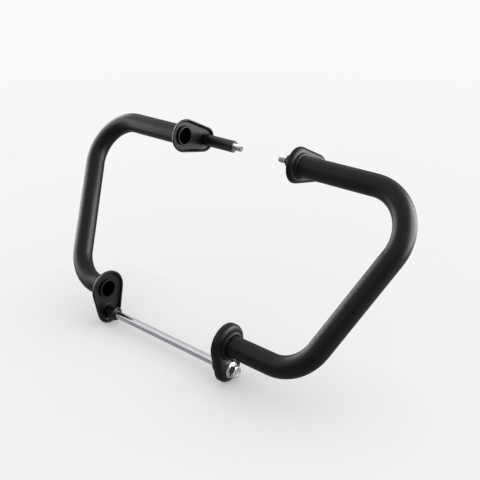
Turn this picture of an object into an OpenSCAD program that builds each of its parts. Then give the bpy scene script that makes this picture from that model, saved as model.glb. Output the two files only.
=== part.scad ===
// Motorcycle crash bars: a left and a right hoop of bent round tube, each welded into two
// teardrop mounting lugs, with spacers, two upper bolts and one long bolt between the lower lugs.
// +X runs from side to side, +Y is the way the hoops lean as they rise, +Z is up.
// The origin lies on the lower bolt's axis, in the motorcycle's centre plane.

/* [Tube] */
// Outside diameter of the bent tube
tube_d = 32; // [28:0.5:38]
// Wall thickness of the bent tube
tube_wall = 2.5; // [1.5:0.1:4]
// Centre-line radius of every bend
bend_r = 64; // [56:1:76]

/* [Hoops] */
// Centre plane to the upper corner of the tube's centre line
upper_corner = 324; // [300:1:350]
// Centre plane to the lower corner of the tube's centre line
lower_corner = 226; // [215:1:245]
// Distance between the upper and lower runs, measured in the leaning plane
run_spacing = 272.5; // [245:0.5:300]
// Angle by which the hoops lean back from upright
lean = 33.7; // [15:0.1:45]

/* [Mounting points] */
// Centre plane to the rim of the left upper lug
left_upper_rim = 118.6; // [110:0.1:126]
// Centre plane to the rim of the right upper lug
right_upper_rim = 102.3; // [94:0.1:112]
// Centre plane to the rim of the left lower lug
left_lower_rim = 152.4; // [136:0.1:156]
// Centre plane to the rim of the right lower lug
right_lower_rim = 97.3; // [90:0.1:110]
// Tube axis to bolt axis in an upper lug
upper_reach = 48.6; // [44:0.1:54]
// Angle by which the upper lugs point below the horizontal
upper_dip = 19.6; // [0:0.1:40]
// Tube axis to bolt axis in a lower lug, straight down
lower_reach = 40.4; // [38:0.1:48]
// Width of the frame lug that the upper spacers close on
frame_w = 108; // [96:0.5:120]
// Distance of that frame lug's middle from the centre plane, to the left
frame_shift = 2; // [-4:0.1:4]
// Length by which each upper bolt stands out of its spacer
stud_l = 15.7; // [10:0.1:24]
// Length by which each lower spacer stands out of its lug's rim
lower_spacer_proud = 16; // [4:0.5:24]

/* [Lugs] */
// Radius of an upper lug's wide end
upper_wide_r = 26.8; // [26.8:0.1:30]
// Radius of an upper lug's narrow end
upper_narrow_r = 20.6; // [19:0.1:23]
// Radius of a lower lug's wide end
lower_wide_r = 30.5; // [29.5:0.1:33]
// Radius of a lower lug's narrow end
lower_narrow_r = 23.1; // [21:0.1:25]
// Tube axis to the middle of a lower lug's narrow end, which lies above the bolt
lower_lug_reach = 37.5; // [36:0.1:42]
// Height of the upper lugs from rim to back
upper_lug_h = 8.6; // [8.5:0.1:13]
// Height of the left lower lug from rim to back
left_lower_lug_h = 8.6; // [8.5:0.1:13]
// Height of the right lower lug from rim to back
right_lower_lug_h = 12.2; // [8.5:0.1:15]
// Depth of each lug's dish below its rim
dish_h = 4.8; // [4.6:0.1:5.6]
// Width of the rim round an upper lug's dish
upper_rim_w = 2.4; // [2:0.1:3]
// Width of the rim round a lower lug's dish
lower_rim_w = 3.3; // [2.4:0.1:4]
// Radius on the rim's outer edge
rim_r = 1; // [0.4:0.1:1.1]
// Width of the bevel on the rim's inner edge
lip = 0.6; // [0.3:0.1:0.9]
// Radius between the lug's side and its back
shoulder_r = 7; // [4:0.1:7.2]
// Radius between the dish's wall and its floor
floor_r = 3.2; // [1.5:0.1:3.4]
// Height of the round seat under each spacer
seat_h = 1.2; // [0.8:0.1:2]
// Width of the seat's step round the spacer
seat_step = 2.4; // [1:0.1:2.6]
// Depth of the tube's end below the rim
tube_inset = 0.8; // [0:0.1:3]
// Leg of the weld bead on the back of an upper lug
upper_weld_leg = 3.5; // [2:0.1:3.5]
// Leg of the weld bead on the back of a lower lug
lower_weld_leg = 5.8; // [4:0.1:6]
// Height of the weld beads along the tube
weld_rise = 3.5; // [2:0.1:4]

/* [Spacers] */
// Outside diameter of the upper spacers
upper_spacer_d = 19; // [16:0.1:20]
// Bore of the upper spacers
upper_spacer_bore = 12; // [10.6:0.1:13]
// Outside diameter of the lower spacers
lower_spacer_d = 22; // [18:0.1:23]
// Bore of the lower spacers
lower_spacer_bore = 13; // [12.6:0.1:15]
// Chamfer on the ends of the spacers
spacer_chamfer = 1; // [0.3:0.1:1.5]

/* [Bolts] */
// Diameter of the upper bolts
upper_bolt_d = 10; // [8:0.5:10]
// Width across flats of the upper bolt heads
upper_bolt_flats = 15; // [13:0.5:16]
// Height of the upper bolt heads above their flanges
upper_bolt_head_h = 7; // [5:0.1:10]
// Flange diameter of the upper bolts
upper_flange_d = 21; // [18:0.1:24]
// Diameter of the lower bolt
lower_bolt_d = 12; // [10:0.5:12]
// Width across flats of the lower bolt's head
lower_bolt_flats = 17; // [15:0.5:18]
// Height of the lower bolt's head above its flange
lower_bolt_head_h = 8.5; // [6:0.1:12]
// Flange diameter of the lower bolt
lower_flange_d = 24; // [21:0.1:27]
// Thickness of the bolt flanges
flange_h = 2.4; // [1.5:0.1:3.5]
// Length of the lower bolt that shows past its nut
lower_bolt_past = 3; // [1:0.1:8]
// Chamfer on the ends of the bolts
bolt_chamfer = 1.2; // [0.5:0.1:1.8]
// Width of the thread relief behind each upper bolt's bare end
relief_w = 1.5; // [0.8:0.1:3]
// Depth of the thread relief
relief_depth = 0.9; // [0.4:0.1:1.2]
// Height of the cone that takes a hexagon's corners off, as a share of its width
hex_cone = 0.12; // [0.05:0.01:0.2]
// Width left flat on top of a hexagon, as a share of its width
hex_top = 0.96; // [0.85:0.01:0.99]
// Ledge of the flange round its hexagon
flange_ledge = 0.4; // [0.1:0.1:1]
// Angle by which the lower bolt's head stands turned
head_turn = 16; // [0:1:60]

/* [Nut and washer] */
// Width across flats of the lock nut
nut_flats = 19; // [17:0.5:21]
// Height of the lock nut's hexagon
nut_hex_h = 8.5; // [7:0.1:11]
// Height of the lock nut's round crown
nut_crown_h = 3.5; // [2.5:0.1:5]
// Ledge and chamfer of the crown
crown_edge = 1; // [0.5:0.1:1.4]
// Outside diameter of the nylon ring in the lock nut's crown
nylon_d = 14.6; // [13.6:0.1:15]
// Height of the nylon ring
nylon_h = 2.6; // [1.5:0.1:3]
// Chamfer on the nylon ring
nylon_chamfer = 0.4; // [0.1:0.1:0.6]
// Outside diameter of the washer under the nut
washer_d = 24; // [22:0.5:27]
// Thickness of the washer
washer_h = 2.5; // [1.5:0.1:3]

/* [Fits] */
// Gap between a round piece and the hole that it is fixed in
fit_gap = 0.05; // [0.03:0.01:0.15]
// Radial clearance of a bolt in its lug
bolt_gap = 0.25; // [0.1:0.05:0.6]

/* [Hidden] */
$fn = 72;

coat = "#1d1d1f";
steel = "#b9bcc1";
nylon = "#e7e6df";

over = 1; // how far a cut runs past the face that it opens
side_proud = 0.1; // by which a teardrop's straight sides stand proud of its round ends
side_start = 0.3; // from a round end's axis plane to the start of a straight side
side_lap = 3; // by which a straight side's solid reaches past the lug's middle
bend_draw = 0.1; // by which bending draws the tube's radii thinner
bend_lap = 0.4; // by which a bend reaches into the straight runs
left = 1; // value for mirror() that turns a right-hand piece into a left-hand one
right = 0;

tube_r = tube_d / 2;
bore_r = tube_r - tube_wall;
end_chamfer = 0.25 * tube_wall;

// Bends in the hoop's own plane, with x sideways and y up the plane
leg_angle = atan2(run_spacing, upper_corner - lower_corner);
lower_set = bend_r * tan(leg_angle / 2);
upper_set = bend_r * tan((180 - leg_angle) / 2);
leg_l = norm([upper_corner - lower_corner, run_spacing]) - lower_set - upper_set;

// Tube axes and bolt axes, as [y, z]
lower_axis = [0, lower_reach];
upper_axis = lower_axis + run_spacing * [sin(lean), cos(lean)];
upper_pin = upper_axis + upper_reach * [cos(upper_dip), -sin(upper_dip)];
lower_pin = lower_axis - [0, lower_reach];

// Faces of the frame lug along X, and seats measured from a lug's rim
left_face = frame_w / 2 + frame_shift;
right_face = frame_w / 2 - frame_shift;
floor_seat = dish_h - seat_h;
crown_r = nut_flats / 2 - crown_edge;

// Puts a lug's local frame (x to the bolt, z away from the centre plane) on a tube axis
module on_axis(side, rim, axis, angle) {
    mirror([side, 0, 0]) translate([rim, axis[0], axis[1]])
        rotate([angle, 0, 0]) rotate([90, 0, 90]) children();
}

// Puts a piece that is turned about z on a bolt axis, with z away from the centre plane
module on_pin(side, start, pin) {
    mirror([side, 0, 0]) translate([start, pin[0], pin[1]]) rotate([0, 90, 0]) children();
}

// Cylinder along z with a chamfer at its low end, its high end or both
module chamfered(r, h, low = 0, high = 0) {
    rotate_extrude() polygon([[0, 0], [r - low, 0], [r, low], [r, h - high], [r - high, h], [0, h]]);
}

// Bend in a bar of radius r, about the origin, which laps into the runs at both ends
module bend(r, start, turn) {
    lap = asin(bend_lap / bend_r);
    rotate([0, 0, start - lap]) rotate_extrude(angle = turn + 2 * lap)
        translate([bend_r, 0]) circle(r - bend_draw);
}

// Round bar of radius r that follows one hoop, from its lower end to its upper end
module hoop(r, lower_end, upper_end) {
    lower_run = lower_corner - lower_set - lower_end;
    upper_run = upper_corner - upper_set - upper_end;
    translate([lower_end, 0, 0]) rotate([0, 90, 0]) cylinder(r = r, h = lower_run);
    translate([lower_corner - lower_set, bend_r, 0]) bend(r, -90, leg_angle);
    translate([lower_corner, 0, 0]) rotate([0, 0, leg_angle]) translate([lower_set, 0, 0])
        rotate([0, 90, 0]) cylinder(r = r, h = leg_l);
    translate([upper_corner - upper_set, run_spacing - bend_r, 0])
        bend(r, leg_angle - 90, 180 - leg_angle);
    translate([upper_end, run_spacing, 0]) rotate([0, 90, 0]) cylinder(r = r, h = upper_run);
}

// Cuts a chamfer on the tube's outer edge, at an end that faces the centre plane
module end_bevel(at) {
    translate([at, 0, 0]) rotate([0, 90, 0]) rotate_extrude()
        polygon([[tube_r - end_chamfer, 0], [tube_r + over, -over], [tube_r + over, end_chamfer + over],
            [tube_r, end_chamfer]]);
}

module tube(side, lower_rim, upper_rim) {
    lower_end = lower_rim + tube_inset;
    upper_end = upper_rim + tube_inset;
    color(coat) mirror([side, 0, 0]) translate([0, lower_axis[0], lower_axis[1]])
        rotate([90 - lean, 0, 0]) difference() {
            hoop(tube_r, lower_end, upper_end);
            hoop(bore_r, lower_end - over, upper_end - over);
            end_bevel(lower_end);
            translate([0, run_spacing, 0]) end_bevel(upper_end);
        }
}

// Quarter of a disc in a square of side r; grow adds to its radius but not to its height
module quarter(r, grow = 0) {
    intersection() {
        circle(r + grow);
        square([r + grow, r]);
    }
}

// Half section of a lug's outside, from its axis to radius r, its skin moved out by grow
module shell_section(r, h, grow) {
    square([r - shoulder_r, h]);
    square([r - rim_r, h - shoulder_r]);
    translate([0, rim_r]) square([r + grow, h - shoulder_r - rim_r]);
    translate([r - rim_r, rim_r]) mirror([0, 1]) quarter(rim_r, grow);
    translate([r - shoulder_r, h - shoulder_r]) quarter(shoulder_r, grow);
}

// Half section of a lug's dish, from its axis to radius r, its skin moved out by grow
module dish_section(r, grow) {
    translate([0, -over]) square([r - floor_r, dish_h + over]);
    translate([0, -over]) square([r + grow, dish_h - floor_r + over]);
    translate([r - floor_r, dish_h - floor_r]) quarter(floor_r, grow);
    translate([r + grow, 0]) polygon([[-over, -over], [lip, -over], [lip, 0],
        [lip / 3, lip / 3], [0, lip], [-over, lip]]);
}

// Teardrop body: a section turned about both ends and drawn along the two straight sides.
// It is a lug's outside of height h, or the dish in it where h is 0
module teardrop(wide_r, narrow_r, reach, h = 0) {
    turn = acos((wide_r - narrow_r) / reach);
    module section(r, grow = 0) {
        if (h == 0) dish_section(r, grow);
        else shell_section(r, h, grow);
    }
    module core() {
        if (h == 0) translate([-side_lap, -over]) square([2 * side_lap, dish_h + over]);
        else translate([-side_lap, 0]) square([2 * side_lap, h]);
    }
    rotate_extrude() section(wide_r);
    translate([reach, 0, 0]) rotate_extrude() section(narrow_r);
    for (flank = [0, 1]) mirror([0, flank, 0]) rotate([0, 0, turn]) rotate([90, 0, 0])
        translate([0, 0, side_start]) linear_extrude(reach * sin(turn) - 2 * side_start) {
            section(wide_r, side_proud);
            core();
        }
}

// Round seat on the dish's floor, with a rounded edge, which the spacer stands on
module spacer_seat(r) {
    translate([0, 0, floor_seat]) rotate_extrude() {
        square([r - seat_h, seat_h + over]);
        translate([0, seat_h]) square([r, over]);
        translate([r - seat_h, seat_h]) mirror([0, 1]) quarter(seat_h);
    }
}

// Lug with the middle of its narrow end at reach, its bolt hole at pin_at and its height h
module lug(wide_r, narrow_r, reach, h, rim_w, pin_at, spacer_d, bolt_d) {
    color(coat) difference() {
        union() {
            difference() {
                teardrop(wide_r, narrow_r, reach, h);
                teardrop(wide_r - rim_w, narrow_r - rim_w, reach);
            }
            translate([pin_at, 0, 0]) spacer_seat(spacer_d / 2 + seat_step);
        }
        translate([0, 0, -over]) cylinder(r = tube_r + fit_gap, h = h + 2 * over);
        translate([pin_at, 0, -over]) cylinder(r = bolt_d / 2 + bolt_gap, h = h + 2 * over);
    }
}

module upper_lug(side, rim) {
    on_axis(side, rim, upper_axis, -upper_dip)
        lug(upper_wide_r, upper_narrow_r, upper_reach, upper_lug_h, upper_rim_w, upper_reach,
            upper_spacer_d, upper_bolt_d);
}

module lower_lug(side, rim, h) {
    on_axis(side, rim, lower_axis, -90)
        lug(lower_wide_r, lower_narrow_r, lower_lug_reach, h, lower_rim_w, lower_reach,
            lower_spacer_d, lower_bolt_d);
}

// Convex bead in the corner between a lug's back and the tube
module weld(side, back, axis, leg) {
    middle = (leg * leg - weld_rise * weld_rise) / (2 * leg);
    color(coat) on_pin(side, back, axis) rotate_extrude() translate([tube_r + fit_gap, 0])
        intersection() {
            translate([middle, 0]) circle(leg - middle);
            square([leg + over, leg + over]);
        }
}

// Sleeve between a lug's seat and what the bars are bolted to
module spacer(side, from, to, pin, d, bore) {
    color(coat) on_pin(side, from, pin) difference() {
        chamfered(d / 2, to - from, low = spacer_chamfer);
        translate([0, 0, -over]) cylinder(d = bore, h = to - from + 2 * over);
    }
}

// Hexagon across flats, with its corners turned off to a cone at the high end
module hexagon(flats, h) {
    corner_r = flats / 2 / cos(30);
    cone = (corner_r + over - hex_top * flats / 2) / (corner_r - hex_top * flats / 2);
    intersection() {
        cylinder(r = corner_r, h = h, $fn = 6);
        rotate_extrude() polygon([[0, 0], [corner_r + over, 0],
            [corner_r + over, h - hex_cone * flats * cone], [hex_top * flats / 2, h], [0, h]]);
    }
}

// Flanged hexagon bolt: z = 0 is the face under the flange, the shank runs down from it
module flanged_bolt(d, shank_l, flange_d, flats, head_h, turn = 0) {
    color(steel) {
        translate([0, 0, -shank_l]) chamfered(d / 2, shank_l, low = bolt_chamfer);
        rotate_extrude() polygon([[0, 0], [flange_d / 2, 0], [flange_d / 2, flange_h / 3],
            [flats / 2 + flange_ledge, flange_h], [0, flange_h]]);
        translate([0, 0, flange_h]) rotate([0, 0, turn]) hexagon(flats, head_h);
    }
}

module upper_bolt(side, rim, face) {
    back = rim + upper_lug_h;
    relief_r = upper_bolt_d / 2 - relief_depth;
    color(steel) difference() {
        on_pin(side, back, upper_pin)
            flanged_bolt(upper_bolt_d, back - face + stud_l, upper_flange_d, upper_bolt_flats,
                upper_bolt_head_h);
        on_pin(side, face, upper_pin) difference() {
            cylinder(r = upper_bolt_d / 2 + over, h = relief_w);
            translate([0, 0, -over]) cylinder(r = relief_r, h = relief_w + 2 * over);
        }
    }
}

// Outer faces of what the lower bolt clamps, along X
right_back = right_lower_rim + right_lower_lug_h;
left_back = left_lower_rim + left_lower_lug_h;
nut_h = nut_hex_h + nut_crown_h;
lower_bolt_l = right_back + left_back + washer_h + nut_h + lower_bolt_past;

module lower_bolt() {
    on_pin(right, right_back, lower_pin)
        flanged_bolt(lower_bolt_d, lower_bolt_l, lower_flange_d, lower_bolt_flats, lower_bolt_head_h,
            head_turn);
}

module lower_washer() {
    color(steel) on_pin(left, left_back, lower_pin) difference() {
        cylinder(d = washer_d, h = washer_h);
        translate([0, 0, -over]) cylinder(r = lower_bolt_d / 2 + bolt_gap, h = washer_h + 2 * over);
    }
}

// Lock nut: a hexagon with a round crown that holds the nylon ring
module lower_nut() {
    color(steel) on_pin(left, left_back + washer_h, lower_pin) difference() {
        union() {
            hexagon(nut_flats, nut_hex_h);
            chamfered(crown_r, nut_h, high = crown_edge);
        }
        translate([0, 0, -over]) cylinder(r = lower_bolt_d / 2 + fit_gap, h = nut_h + 2 * over);
        translate([0, 0, nut_h - nylon_h]) cylinder(r = nylon_d / 2 + fit_gap, h = nylon_h + over);
    }
}

module lower_nut_ring() {
    color(nylon) on_pin(left, left_back + washer_h + nut_h - nylon_h, lower_pin) difference() {
        chamfered(nylon_d / 2, nylon_h - fit_gap, high = nylon_chamfer);
        translate([0, 0, -over]) cylinder(r = lower_bolt_d / 2 + fit_gap, h = nylon_h + 2 * over);
    }
}

tube(left, left_lower_rim, left_upper_rim);  // left_tube
tube(right, right_lower_rim, right_upper_rim);  // right_tube
upper_lug(left, left_upper_rim);  // left_upper_lug
upper_lug(right, right_upper_rim);  // right_upper_lug
lower_lug(left, left_lower_rim, left_lower_lug_h);  // left_lower_lug
lower_lug(right, right_lower_rim, right_lower_lug_h);  // right_lower_lug
weld(left, left_upper_rim + upper_lug_h, upper_axis, upper_weld_leg);  // left_upper_weld
weld(right, right_upper_rim + upper_lug_h, upper_axis, upper_weld_leg);  // right_upper_weld
weld(left, left_back, lower_axis, lower_weld_leg);  // left_lower_weld
weld(right, right_back, lower_axis, lower_weld_leg);  // right_lower_weld
spacer(left, left_face, left_upper_rim + floor_seat, upper_pin, upper_spacer_d, upper_spacer_bore);  // left_upper_spacer
spacer(right, right_face, right_upper_rim + floor_seat, upper_pin, upper_spacer_d,  // right_upper_spacer
        upper_spacer_bore);
spacer(left, left_lower_rim - lower_spacer_proud, left_lower_rim + floor_seat, lower_pin,  // left_lower_spacer
        lower_spacer_d, lower_spacer_bore);
spacer(right, right_lower_rim - lower_spacer_proud, right_lower_rim + floor_seat, lower_pin,  // right_lower_spacer
        lower_spacer_d, lower_spacer_bore);
upper_bolt(left, left_upper_rim, left_face);  // left_upper_bolt
upper_bolt(right, right_upper_rim, right_face);  // right_upper_bolt
lower_bolt();
lower_washer();
lower_nut();
lower_nut_ring();
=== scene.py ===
import math

import bmesh
import bpy
from mathutils import Matrix, Vector


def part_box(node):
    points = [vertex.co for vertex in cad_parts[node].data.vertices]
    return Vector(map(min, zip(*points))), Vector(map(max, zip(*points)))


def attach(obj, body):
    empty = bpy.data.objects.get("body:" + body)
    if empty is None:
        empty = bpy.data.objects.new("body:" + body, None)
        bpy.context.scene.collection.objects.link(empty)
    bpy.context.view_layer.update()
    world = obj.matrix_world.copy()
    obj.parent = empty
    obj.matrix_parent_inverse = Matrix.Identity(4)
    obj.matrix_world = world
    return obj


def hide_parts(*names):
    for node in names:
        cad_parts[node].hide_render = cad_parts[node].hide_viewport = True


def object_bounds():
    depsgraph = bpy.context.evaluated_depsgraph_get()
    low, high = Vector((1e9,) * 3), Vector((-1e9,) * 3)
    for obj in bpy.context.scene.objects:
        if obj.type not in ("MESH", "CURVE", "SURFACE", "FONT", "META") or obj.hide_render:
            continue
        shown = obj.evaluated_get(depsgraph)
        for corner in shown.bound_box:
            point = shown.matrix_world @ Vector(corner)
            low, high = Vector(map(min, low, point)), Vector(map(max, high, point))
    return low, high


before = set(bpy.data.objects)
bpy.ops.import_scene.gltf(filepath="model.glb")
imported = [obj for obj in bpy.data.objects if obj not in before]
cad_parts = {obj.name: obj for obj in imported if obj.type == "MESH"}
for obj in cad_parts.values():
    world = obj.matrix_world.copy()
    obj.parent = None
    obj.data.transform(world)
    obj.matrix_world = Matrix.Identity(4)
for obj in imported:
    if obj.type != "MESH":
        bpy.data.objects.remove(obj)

CAD_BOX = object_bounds()
TAU = math.tau
MM = 0.001

# Camera at the photograph's angle, with its lens and sensor in millimetres
EYE = (0.7248, -0.6965, 0.6185)
AIM = (0.1255, 0.0, 0.2077)
LENS = 57.9
SENSOR = 36

# The lower bolt's axis, the middle of the bars along Y, and how far from it the softboxes stand
LOWER_AXIS = (0.0, 0.0)
MIDDLE_Y = 0.1
STAND_OFF = 0.95
MATT_BEHIND = 0.02

# Floor: its height, half its width and the Y of its middle
FLOOR_Z = CAD_BOX[0].z
FLOOR_HALF = 14
FLOOR_Y = 4

# Bolts, in millimetres as the part's source has them, with the threads that it leaves out
UPPER_BOLT = {"d": 10, "pitch": 1.5, "threaded": 32, "flange_d": 21,
              "flats": 15, "head_h": 7, "turn": 30}
LOWER_BOLT = {"d": 12, "pitch": 1.75, "threaded": 30, "flange_d": 24,
              "flats": 17, "head_h": 8.5, "turn": -14}
FLANGE_H = 2.4
FLANGE_LEDGE = 0.4
TIP_CHAMFER = 1.2

# Roundings of a bolt's flange, in millimetres
FOOT_ROUND, LIP_ROUND, TOP_ROUND = 0.3, 0.4, 0.3

# Width of the edge and depth of the dish in a bolt head's end face, in millimetres
HEAD_EDGE = 0.25
HEAD_DISH = 0.5

# Bevel of a head's corners, its radius as a share of half the flats, and the dish's radii as shares of that
BEVEL = math.radians(30)
BEVEL_SHARE = 0.96
DISH_RIM, DISH_FLOOR, DISH_MIDDLE = 0.72, 0.6, 0.3

# Width of a stud's darkened cut end, bare cut steel with painted shade that dims a lamp's reflection,
# and of the plain step after a thread, in millimetres
SHADED_CUT_END = 0.9
SHANK_LEAD = 0.4

# Thread: widths, depth and run-out as shares of the pitch, and the points of one turn
CREST, FLANK, ROOT = 0.125, 0.3125, 0.25
THREAD_DEPTH = 0.6134
RUN_OUT = 1.5
THREAD_STEPS = 64
THREAD_ROWS = 4

# Weld beads, in millimetres as the part's source has them, and the points of their grid
BEAD_BORE_R = 16.05
BEAD_LEG = {"upper": 3.5, "lower": 5.8}
BEAD_RISE = 3.5
BEAD_STEPS = 350
BEAD_ROWS = 14

# Ripples of a bead: number, height as a share of the bead, bow as a share of a ripple, power of the fall
RIPPLES = 50
RIPPLE_HEIGHT = 0.09
RIPPLE_BOW = 0.45
RIPPLE_FALL = 1.5

# Points round a turned piece, and the distances under which two points are one
ROUND_STEPS = 96
SAME_POINT = 1e-7
MERGED = 1e-6

# Sockets of a Mix node for colours
FACTOR, FIRST, SECOND, MIXED = 0, 6, 7, 2
WHITE = (1, 1, 1, 1)


# Node trees

class Sock:
    """An output socket, on which sums are written as plain expressions."""

    def __init__(self, tree, socket):
        self.tree, self.socket = tree, socket

    def sum(self, operation, *values):
        return self.tree.add("ShaderNodeMath", {"operation": operation}, dict(enumerate(values)))

    def __add__(self, other):
        return self.sum("ADD", self, other)

    def __radd__(self, other):
        return self.sum("ADD", other, self)

    def __sub__(self, other):
        return self.sum("SUBTRACT", self, other)

    def __rsub__(self, other):
        return self.sum("SUBTRACT", other, self)

    def __mul__(self, other):
        return self.sum("MULTIPLY", self, other)

    def __rmul__(self, other):
        return self.sum("MULTIPLY", other, self)

    def __truediv__(self, other):
        return self.sum("DIVIDE", self, other)

    def __rtruediv__(self, other):
        return self.sum("DIVIDE", other, self)

    def __mod__(self, other):
        return self.sum("FLOORED_MODULO", self, other)

    def __pow__(self, other):
        return self.sum("POWER", self, other)

    def __gt__(self, other):
        return self.sum("GREATER_THAN", self, other)

    def reaches(self, number):
        """1 where a whole number is this one or more, 0 elsewhere."""
        return self > number - 0.5

    def least(self, other):
        return self.sum("MINIMUM", self, other)

    def most(self, other):
        return self.sum("MAXIMUM", self, other)

    def floor(self):
        return self.sum("FLOOR", self)

    def sine(self):
        return self.sum("SINE", self)

    def cosine(self):
        return self.sum("COSINE", self)

    def root(self):
        return self.sum("SQRT", self)

    def beside(self, name):
        """Another output of the same node."""
        return Sock(self.tree, self.socket.node.outputs[name])

    def parts(self):
        """The x, y and z of a vector."""
        x = self.tree.add("ShaderNodeSeparateXYZ", {}, {"Vector": self}, "X")
        return x, x.beside("Y"), x.beside("Z")


class Tree:
    """A material's, the world's or a modifier's node tree, to which one method adds any node."""

    def __init__(self, data):
        self.data = data
        data.nodes.clear()

    def add(self, kind, settings=None, inputs=None, out=0):
        """A node with its settings, then its sockets' values or links, as the output that is asked for."""
        node = self.data.nodes.new(kind)
        for key, value in (settings or {}).items():
            setattr(node, key, value)
        for key, value in (inputs or {}).items():
            if isinstance(value, Sock):
                self.data.links.new(value.socket, node.inputs[key])
            else:
                node.inputs[key].default_value = value
        return Sock(self, node.outputs[out]) if len(node.outputs) else node


class Finish(Tree):
    """A material whose textures read Object coordinates."""

    def __init__(self, name):
        self.material = bpy.data.materials.new(name)
        self.material.use_nodes = True
        super().__init__(self.material.node_tree)
        self.spot = self.add("ShaderNodeTexCoord", out="Object")

    def noise(self, scale, detail=2.0, vector=None):
        return self.add("ShaderNodeTexNoise", {}, {
            "Vector": vector or self.spot, "Scale": scale, "Detail": detail})

    def about(self, centre, stretch=(1, 1, 1)):
        """Coordinates counted from a point and stretched along the axes."""
        moved = [-c * s for c, s in zip(centre, stretch)]
        return self.add("ShaderNodeMapping", {}, {"Vector": self.spot, "Location": moved, "Scale": stretch})

    def shade(self, low, high, factor):
        """A colour between two, by a factor from 0 to 1."""
        first, second = [c if isinstance(c, Sock) else (*c, 1) for c in (low, high)]
        return self.add("ShaderNodeMix", {"data_type": "RGBA"}, {
            FACTOR: factor, FIRST: first, SECOND: second}, MIXED)

    def finish(self, colour, roughness, relief, depth, strength, **constants):
        """The material with a Principled shader; the relief's depth is in metres."""
        bump = self.add("ShaderNodeBump", {}, {"Strength": strength, "Distance": depth, "Height": relief})
        inputs = {"Base Color": colour, "Roughness": roughness, "Normal": bump}
        inputs.update({key.replace("_", " "): value for key, value in constants.items()})
        shader = self.add("ShaderNodeBsdfPrincipled", {}, inputs)
        self.add("ShaderNodeOutputMaterial", {}, {"Surface": shader})
        return self.material


def powder_coat():
    """Satin black powder coat: a faint orange peel with a fine grain."""
    f = Finish("powder_coat")
    clouds = f.noise(14.0)
    peel = f.noise(350.0, detail=1.0)
    grain = f.noise(1500.0, detail=1.0)
    colour = f.shade((0.0050, 0.0050, 0.0053), (0.0075, 0.0075, 0.0080), clouds)
    roughness = 0.35 + clouds * 0.04 + grain * 0.03
    relief = peel * 0.7 + grain * 0.3
    return f.finish(colour, roughness, relief, depth=0.00012, strength=0.03, Specular_IOR_Level=0.27)


def sleeve_black():
    """Black finish of the spacer sleeves, with the faint rings of turning under it."""
    ring_pitch = 0.0006
    f = Finish("sleeve_black")
    x = f.spot.parts()[0]
    rings = (x * (TAU / ring_pitch)).sine() * 0.5 + 0.5
    clouds = f.noise(60.0)
    grain = f.noise(1800.0)
    colour = f.shade((0.006, 0.006, 0.0065), (0.010, 0.010, 0.0105), clouds)
    roughness = 0.30 + clouds * 0.12
    return f.finish(colour, roughness, rings * 0.4 + grain * 0.6, depth=0.00008, strength=0.3)


def bright_steel(name, axis, tint, rough, tips=None):
    """Bright steel with faint marks drawn along a bolt's axis; cut tips darker, as bare steel and painted
    shade.
    """
    bare_tip_and_shade_tint = (0.11, 0.11, 0.115)
    f = Finish(name)
    marks = f.noise(1.0, detail=3.0, vector=f.about((0, *axis), stretch=(25, 900, 900)))
    clouds = f.noise(90.0)
    colour = f.shade([0.92 * v for v in tint], tint, clouds)
    if tips:
        x = f.spot.parts()[0]
        # Painted shade, partly bare cut steel: the stud tips darken so that they mirror less of a lamp
        cut = (x > tips[0] - SHADED_CUT_END * MM) * (1 - (x > tips[1] + SHADED_CUT_END * MM))
        colour = f.shade(colour, bare_tip_and_shade_tint, cut)
    roughness = rough + clouds * 0.05 + marks * 0.04
    return f.finish(colour, roughness, marks, depth=0.00001, strength=0.03, Metallic=1.0)


def nylon():
    """Pale nylon of the locking ring."""
    f = Finish("nylon")
    clouds = f.noise(300.0)
    grain = f.noise(900.0)
    colour = f.shade((0.72, 0.71, 0.66), (0.80, 0.79, 0.74), clouds)
    return f.finish(colour, 0.42 + clouds * 0.1, grain, depth=0.00005, strength=0.3)


def pale_floor():
    """Pale floor: satin and grey to the bars' reflections; near white to the eye, with a painted soft
    shadow and painted light far off.
    """
    near_level, far_gain, far_reach, far_power = 0.845, 0.12, 1.3, 1.5
    shadow_reach, shadow_share = 0.17, 0.7
    matt_grey = (0.012, 0.012, 0.012, 1)
    satin_grey = (0.2, 0.2, 0.2, 1)
    mirror_level = 0.2
    f = Finish("pale_floor")
    by_eye = f.add("ShaderNodeLightPath", out="Is Camera Ray")
    mirrored = by_eye.beside("Is Glossy Ray")
    through = by_eye.beside("Is Transmission Ray")
    x, y, _ = f.about((0, MIDDLE_Y, 0)).parts()
    far = (x * x + y * y).root()
    # Painted light: the glow to the eye grows brighter further from the middle of the bars
    rise = 1 - 1 / (far / far_reach + 1) ** far_power
    # Painted shadow: ambient occlusion dims that glow under and beside the bars
    open_above = f.add("ShaderNodeAmbientOcclusion", {"samples": 16}, {"Distance": shadow_reach}, "AO")
    shadow = open_above * shadow_share + (1 - shadow_share)
    seen = f.add("ShaderNodeEmission", {}, {
        "Color": WHITE, "Strength": (near_level + rise * far_gain) * shadow})
    matt = f.add("ShaderNodeBsdfDiffuse", {}, {"Color": matt_grey})
    to_eye = f.add("ShaderNodeAddShader", {}, {0: matt, 1: seen})
    satin = f.add("ShaderNodeBsdfPrincipled", {}, {
        "Base Color": satin_grey, "Roughness": 0.4, "Specular IOR Level": 0.05,
        "Emission Color": WHITE, "Emission Strength": mirrored.most(through) * mirror_level})
    both = f.add("ShaderNodeMixShader", {}, {0: by_eye, 1: satin, 2: to_eye})
    f.add("ShaderNodeOutputMaterial", {}, {"Surface": both})
    return f.material


# Meshes

def in_scene(name, data):
    """A new object in the scene."""
    made = bpy.data.objects.new(name, data)
    bpy.context.scene.collection.objects.link(made)
    return made


def axis_of(node):
    """The y and z of a CAD node's middle, through which its axis runs."""
    low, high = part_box(node)
    return (low.y + high.y) / 2, (low.z + high.z) / 2


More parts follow.
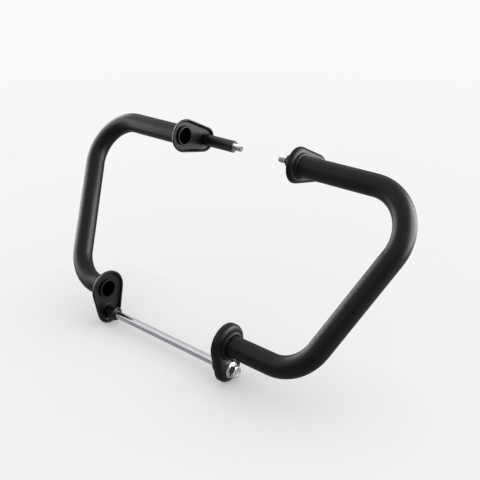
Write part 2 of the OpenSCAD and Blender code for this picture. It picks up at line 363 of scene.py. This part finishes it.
def on_axis(node, towards):
    """Matrix that puts a piece turned about z on a CAD node's axis; it points along X by 1 or -1."""
    low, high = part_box(node)
    start_x = low.x if towards > 0 else high.x
    turn = Matrix(((0, 0, towards), (1, 0, 0), (0, towards, 0)))
    return Matrix.Translation((start_x, *axis_of(node))) @ turn.to_4x4()


def stacked(rows, turn=0.0):
    """A closed mesh of rings round z; a row gives the radius and height of each of its points."""
    angles = [TAU * k / ROUND_STEPS + turn for k in range(ROUND_STEPS)]
    bm = bmesh.new()
    rings = []
    for row in rows:
        if row[0][0] < SAME_POINT:
            rings.append([bm.verts.new((0, 0, row[0][1]))] * ROUND_STEPS)
        else:
            rings.append([bm.verts.new((radius * math.cos(angle), radius * math.sin(angle), height))
                          for angle, (radius, height) in zip(angles, row)])
    for low, high in zip(rings, rings[1:]):
        for k in range(ROUND_STEPS):
            after = (k + 1) % ROUND_STEPS
            corners = [low[k], low[after], high[after], high[k]]
            bm.faces.new([v for n, v in enumerate(corners) if v not in corners[:n]])
    return bm


def turned(profile):
    """A closed mesh of a profile, [radius, height] in metres, turned about z."""
    return stacked([[spot] * ROUND_STEPS for spot in profile])


def rounded(corner, before, after, radius, count=4):
    """Points of a small rounding at a profile's corner, between its neighbours."""
    c, b, a = Vector(corner), Vector(before), Vector(after)
    p, q = c + (b - c).normalized() * radius, c + (a - c).normalized() * radius
    points = []
    for k in range(count + 1):
        t = k / count
        points.append(tuple(p * (1 - t) ** 2 + c * 2 * t * (1 - t) + q * t ** 2))
    return points


def hex_head(flats, height, base, turn):
    """A hexagon from base up, with its corners turned off, a dished end and one corner at turn degrees."""
    half_side = TAU / 12
    flat_r = flats / 2
    bevel_r = flat_r * BEVEL_SHARE
    end, dish = base + height, base + height - HEAD_DISH * MM
    foot, shoulder = [], []
    for k in range(ROUND_STEPS):
        off_corner = abs((TAU * k / ROUND_STEPS + half_side) % (2 * half_side) - half_side)
        reach = flat_r / math.cos(half_side - off_corner)
        foot.append((reach, base))
        shoulder.append((reach, end - max(0.0, reach - bevel_r) * math.tan(BEVEL)))
    profile = [(bevel_r - HEAD_EDGE * MM, end), (bevel_r * DISH_RIM, end),
               (bevel_r * DISH_FLOOR, dish), (bevel_r * DISH_MIDDLE, dish), (0, dish)]
    rows = [[(0, base)], foot, shoulder] + [[spot] * ROUND_STEPS for spot in profile]
    return stacked(rows, math.radians(turn))


def piece(name, shells, place, material, node, smooth=35):
    """One object from several closed meshes, put in place, which stands for a CAD node."""
    joined = bmesh.new()
    for shell in shells:
        bmesh.ops.remove_doubles(shell, verts=shell.verts, dist=SAME_POINT)
        bmesh.ops.recalc_face_normals(shell, faces=shell.faces)
        part = bpy.data.meshes.new("part")
        shell.to_mesh(part)
        shell.free()
        joined.from_mesh(part)
        bpy.data.meshes.remove(part)
    mesh = bpy.data.meshes.new(name)
    joined.to_mesh(mesh)
    joined.free()
    mesh.transform(place)
    for face in mesh.polygons:
        face.use_smooth = True
    mesh.set_sharp_from_angle(angle=math.radians(smooth))
    mesh.materials.append(material)
    made = in_scene(name, mesh)
    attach(made, "root")
    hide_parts(node)
    return made


# Geometry Nodes: screw threads and weld beads

def group(name, numbers, counts=()):
    """An empty modifier tree and the sockets of its named inputs, with one more for its material."""
    data = bpy.data.node_groups.new(name, "GeometryNodeTree")
    data.interface.new_socket("Geometry", in_out="OUTPUT", socket_type="NodeSocketGeometry")
    kinds = {label: "NodeSocketFloat" for label in numbers}
    kinds.update({label: "NodeSocketInt" for label in counts})
    kinds["Material"] = "NodeSocketMaterial"
    for label, kind in kinds.items():
        data.interface.new_socket(label, in_out="INPUT", socket_type=kind)
    tree = Tree(data)
    source = data.nodes.new("NodeGroupInput")
    return tree, {label: Sock(tree, source.outputs[label]) for label in kinds}


def end_group(tree, shape, material):
    """Ends a tree in Realize Instances and Set Material."""
    merged = tree.add("GeometryNodeMergeByDistance", {}, {"Geometry": shape, "Distance": MERGED})
    real = tree.add("GeometryNodeRealizeInstances", {}, {"Geometry": merged})
    dressed = tree.add("GeometryNodeSetMaterial", {}, {"Geometry": real, "Material": material})
    tree.add("NodeGroupOutput", {}, {"Geometry": dressed})
    return tree.data


def round_grid(tree, steps, rows):
    """A flat grid, with each point's turn from 0 to 1 and its row number."""
    grid = tree.add("GeometryNodeMeshGrid", {}, {
        "Size X": 1.0, "Size Y": 1.0, "Vertices X": steps + 1, "Vertices Y": rows})
    x, y, _ = tree.add("GeometryNodeInputPosition").parts()
    row = ((y + 0.5) * (rows - 1) + 0.5).floor()
    return grid, x + 0.5, row


def laid(tree, grid, turn, radius, height):
    """Moves a grid's points to a radius and a height about z."""
    angle = turn * TAU
    spot = tree.add("ShaderNodeCombineXYZ", {}, {
        "X": radius * angle.cosine(), "Y": radius * angle.sine(), "Z": height})
    return tree.add("GeometryNodeSetPosition", {}, {"Geometry": grid, "Position": spot})


def thread_tree(steps, rows):
    """Screw thread with flat crests, a run-out and a chamfered tip, then a plain shank."""
    tree, given = group("screw_thread", (
        "Pitch", "Crest Radius", "Root Radius", "Threaded Length", "Whole Length", "Tip Chamfer"))
    crest_r, threaded, whole = given["Crest Radius"], given["Threaded Length"], given["Whole Length"]
    tip_r = crest_r - given["Tip Chamfer"]
    grid, turn, row = round_grid(tree, steps, rows)
    step = row % THREAD_ROWS
    share = step.reaches(1) * CREST + step.reaches(2) * FLANK + step.reaches(3) * ROOT
    along = ((row / THREAD_ROWS).floor() + share + turn - 1) * given["Pitch"]
    along = along.most(0.0).least(threaded)
    fade = ((threaded - along) / (given["Pitch"] * RUN_OUT)).least(1.0)
    depth = (crest_r - given["Root Radius"]) * step.reaches(2) * fade
    radius = (crest_r - depth).least(tip_r + along)
    # One more row just after the thread keeps its flanks out of the shank's smooth shading
    along = along + row.reaches(rows - 2) * (SHANK_LEAD * MM)
    last = row.reaches(rows - 1)
    shapes = [laid(tree, grid, turn, radius + (crest_r - radius) * last, along + (whole - along) * last)]
    for level, size in ((0.0, tip_r), (whole, crest_r)):
        disc = tree.add("GeometryNodeMeshCircle", {"fill_type": "TRIANGLE_FAN"}, {
            "Vertices": steps, "Radius": size})
        spot = tree.add("ShaderNodeCombineXYZ", {}, {"Z": level})
        shapes.append(tree.add("GeometryNodeTransform", {}, {"Geometry": disc, "Translation": spot}))
    joined = tree.add("GeometryNodeJoinGeometry")
    for shape in shapes:
        tree.data.links.new(shape.socket, joined.socket.node.inputs["Geometry"])
    return end_group(tree, joined, given["Material"])


def bead_tree(steps, rows):
    """Weld bead with overlapping ripples, in the corner between a tube and a plate."""
    tree, given = group("weld_bead", (
        "Tube Radius", "Crest Offset", "Crown Radius", "Sweep", "Ripple Height"), counts=("Ripples",))
    grid, turn, row = round_grid(tree, steps, rows)
    share = ((row - 1) / (rows - 3)).most(0.0).least(1.0)
    bow = (share * 2 - 1) ** 2
    phase = (turn * given["Ripples"] + bow * RIPPLE_BOW) % 1
    on_skin = row.reaches(1) * (1 - row.reaches(rows - 1))
    swell = (1 - given["Ripple Height"] * phase ** RIPPLE_FALL) * on_skin
    lean = share * given["Sweep"]
    out = given["Crest Offset"] + given["Crown Radius"] * lean.cosine()
    up = given["Crown Radius"] * lean.sine()
    shape = laid(tree, grid, turn, given["Tube Radius"] + out * swell, up * swell)
    return end_group(tree, shape, given["Material"])


def grown(tree, values):
    """The closed mesh that a modifier tree makes with these values, as bmesh."""
    host = in_scene("host", bpy.data.meshes.new("host"))
    modifier = host.modifiers.new("shape", "NODES")
    modifier.node_group = tree
    names = {s.name: s.identifier for s in tree.interface.items_tree if s.in_out == "INPUT"}
    for label, value in values.items():
        modifier[names[label]] = value
    evaluated = host.evaluated_get(bpy.context.evaluated_depsgraph_get())
    plain = bpy.data.meshes.new_from_object(evaluated)
    host.modifiers.remove(modifier)
    bpy.data.objects.remove(host)
    bm = bmesh.new()
    bm.from_mesh(plain)
    bpy.data.meshes.remove(plain)
    return bm


def bolt(name, node, size, towards, material):
    """A flanged bolt with a cut thread, which stands for a CAD bolt."""
    low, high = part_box(node)
    rise = FLANGE_H * MM
    length = high.x - low.x - (size["head_h"] + FLANGE_H) * MM
    end = length + rise
    radius, pitch = size["d"] / 2 * MM, size["pitch"] * MM
    rows = THREAD_ROWS * (math.ceil(size["threaded"] / size["pitch"]) + 2)
    rod = grown(thread_tree(THREAD_STEPS, rows), {
        "Pitch": pitch, "Crest Radius": radius, "Root Radius": radius - THREAD_DEPTH * pitch,
        "Threaded Length": size["threaded"] * MM, "Whole Length": length + rise / 2,
        "Tip Chamfer": TIP_CHAMFER * MM, "Material": material})
    flange_r = size["flange_d"] / 2 * MM
    foot, lip = (flange_r, length), (flange_r, length + rise / 3)
    top = ((size["flats"] / 2 + FLANGE_LEDGE) * MM, end)
    profile = [(0, length)]
    profile += rounded(foot, (0, length), lip, FOOT_ROUND * MM)
    profile += rounded(lip, foot, top, LIP_ROUND * MM)
    profile += rounded(top, lip, (0, end), TOP_ROUND * MM)
    profile += [(0, end)]
    head = hex_head(size["flats"] * MM, size["head_h"] * MM, end, size["turn"])
    return piece(name, [rod, turned(profile), head], on_axis(node, towards), material, node)


def weld(name, node, leg, towards, tree, material):
    """A rippled bead round a tube, which stands for a CAD bead."""
    offset = (leg * leg - BEAD_RISE * BEAD_RISE) / (2 * leg)
    crown = leg - offset
    bead = grown(tree, {
        "Tube Radius": BEAD_BORE_R * MM, "Crest Offset": offset * MM, "Crown Radius": crown * MM,
        "Sweep": math.pi - math.acos(offset / crown), "Ripples": RIPPLES, "Ripple Height": RIPPLE_HEIGHT,
        "Material": material})
    return piece(name, [bead], on_axis(node, towards), material, node, smooth=60)


def dress(material, *nodes):
    """Gives CAD nodes a finish in their own material slots."""
    for node in nodes:
        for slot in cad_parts[node].material_slots:
            slot.material = material


# Camera, floor and light

def stand(thing, place, aim):
    """Stands a camera or a lamp at a place, facing another."""
    thing.location = place
    thing.rotation_mode = "QUATERNION"
    thing.rotation_quaternion = (Vector(aim) - Vector(place)).to_track_quat("-Z", "Y")


def set_camera():
    """The camera, at the photograph's angle."""
    data = bpy.data.cameras.new("camera")
    data.lens, data.sensor_width = LENS, SENSOR
    data.clip_start, data.clip_end = 0.01, 60
    camera = in_scene("camera", data)
    stand(camera, EYE, AIM)
    bpy.context.scene.camera = camera


def set_floor():
    """A wide floor under the bars."""
    bm = bmesh.new()
    bmesh.ops.create_grid(bm, x_segments=1, y_segments=1, size=FLOOR_HALF)
    mesh = bpy.data.meshes.new("floor")
    bm.to_mesh(mesh)
    bm.free()
    mesh.transform(Matrix.Translation((0, FLOOR_Y, FLOOR_Z)))
    mesh.materials.append(pale_floor())
    floor = in_scene("floor", mesh)


def lamp(name, place, aim, width, height, level, kind):
    """A soft light of an even level, for matt surfaces or for what glossy ones mirror."""
    light = bpy.data.lights.new(f"{name}_{kind}", "AREA")
    light.shape, light.size, light.size_y = "RECTANGLE", width, height
    light.energy = level * math.pi * width * height
    box = in_scene(f"{name}_{kind}", light)
    stand(box, place, aim)
    box.visible_camera = False
    box.visible_diffuse, box.visible_glossy = kind == "matt", kind == "shine"


def softbox(name, bearing, head, spread, matt, shine):
    """A softbox from the floor up to head, that faces the bars; bearing from X and spread in degrees."""
    turn = math.radians(bearing)
    width = 2 * STAND_OFF * math.tan(math.radians(spread / 2))
    middle = (FLOOR_Z + head) / 2
    # A glossy ray stops at the first lamp it meets, so the matt one stands behind the other
    for kind, level, off in (("matt", matt, STAND_OFF + MATT_BEHIND), ("shine", shine, STAND_OFF)):
        place = (off * math.cos(turn), MIDDLE_Y + off * math.sin(turn), middle)
        lamp(name, place, (0, MIDDLE_Y, middle), width, head - FLOOR_Z, level, kind)


def set_sky():
    """Sky: near white to the eye, plain to matt surfaces, dark below and light above to glossy ones."""
    eye_level, matt_level = 0.97, 0.2
    dark_level, light_gain, dark_up_to, steepness = 0.03, 0.76, 0.14, 5
    world = bpy.data.worlds.new("studio")
    bpy.context.scene.world = world
    world.use_nodes = True
    sky = Tree(world.node_tree)
    by_eye = sky.add("ShaderNodeLightPath", out="Is Camera Ray")
    mirrored = by_eye.beside("Is Glossy Ray")
    height = sky.add("ShaderNodeTexCoord", out="Generated").parts()[2]
    glow = dark_level + ((height - dark_up_to) * steepness).most(0.0).least(1.0) * light_gain
    strength = (matt_level + mirrored * (glow - matt_level)).most(by_eye * eye_level)
    light = sky.add("ShaderNodeBackground", {}, {"Color": (0.985, 0.98, 1, 1), "Strength": strength})
    sky.add("ShaderNodeOutputWorld", {}, {"Surface": light})


# The scene

set_camera()

stud_tips = (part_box("left_upper_bolt")[1].x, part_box("right_upper_bolt")[0].x)
coat = powder_coat()
sleeve = sleeve_black()
zinc = bright_steel("bright_zinc", axis_of("left_upper_bolt"), (0.58, 0.59, 0.60), 0.36, stud_tips)
polished = bright_steel("polished_steel", LOWER_AXIS, (0.84, 0.83, 0.87), 0.07)
plain_zinc = bright_steel("plain_zinc", LOWER_AXIS, (0.66, 0.67, 0.68), 0.24)

for side in ("left", "right"):
    dress(coat, f"{side}_tube", f"{side}_upper_lug", f"{side}_lower_lug")
    dress(sleeve, f"{side}_upper_spacer", f"{side}_lower_spacer")
dress(plain_zinc, "lower_washer", "lower_nut")
dress(nylon(), "lower_nut_ring")

bolt("left_stud_bolt", "left_upper_bolt", UPPER_BOLT, -1, zinc)
bolt("right_stud_bolt", "right_upper_bolt", UPPER_BOLT, 1, zinc)
bolt("long_bolt", "lower_bolt", LOWER_BOLT, 1, polished)
bead_shape = bead_tree(BEAD_STEPS, BEAD_ROWS)
for side, towards in (("left", -1), ("right", 1)):
    for level in ("upper", "lower"):
        weld(f"{side}_{level}_bead", f"{side}_{level}_weld", BEAD_LEG[level], towards, bead_shape, coat)

set_floor()
softbox("right_light", bearing=36, head=0.86, spread=62, matt=3.5, shine=7.8)
softbox("left_light", bearing=184, head=0.68, spread=60, matt=2.2, shine=4.9)
lamp("top_light", (-0.3, 0.3, 2.0), (-0.3, 0.3, 0), width=3.0, height=2.6, level=0.4, kind="matt")
set_sky()
bpy.context.scene.view_settings.view_transform = "Standard"
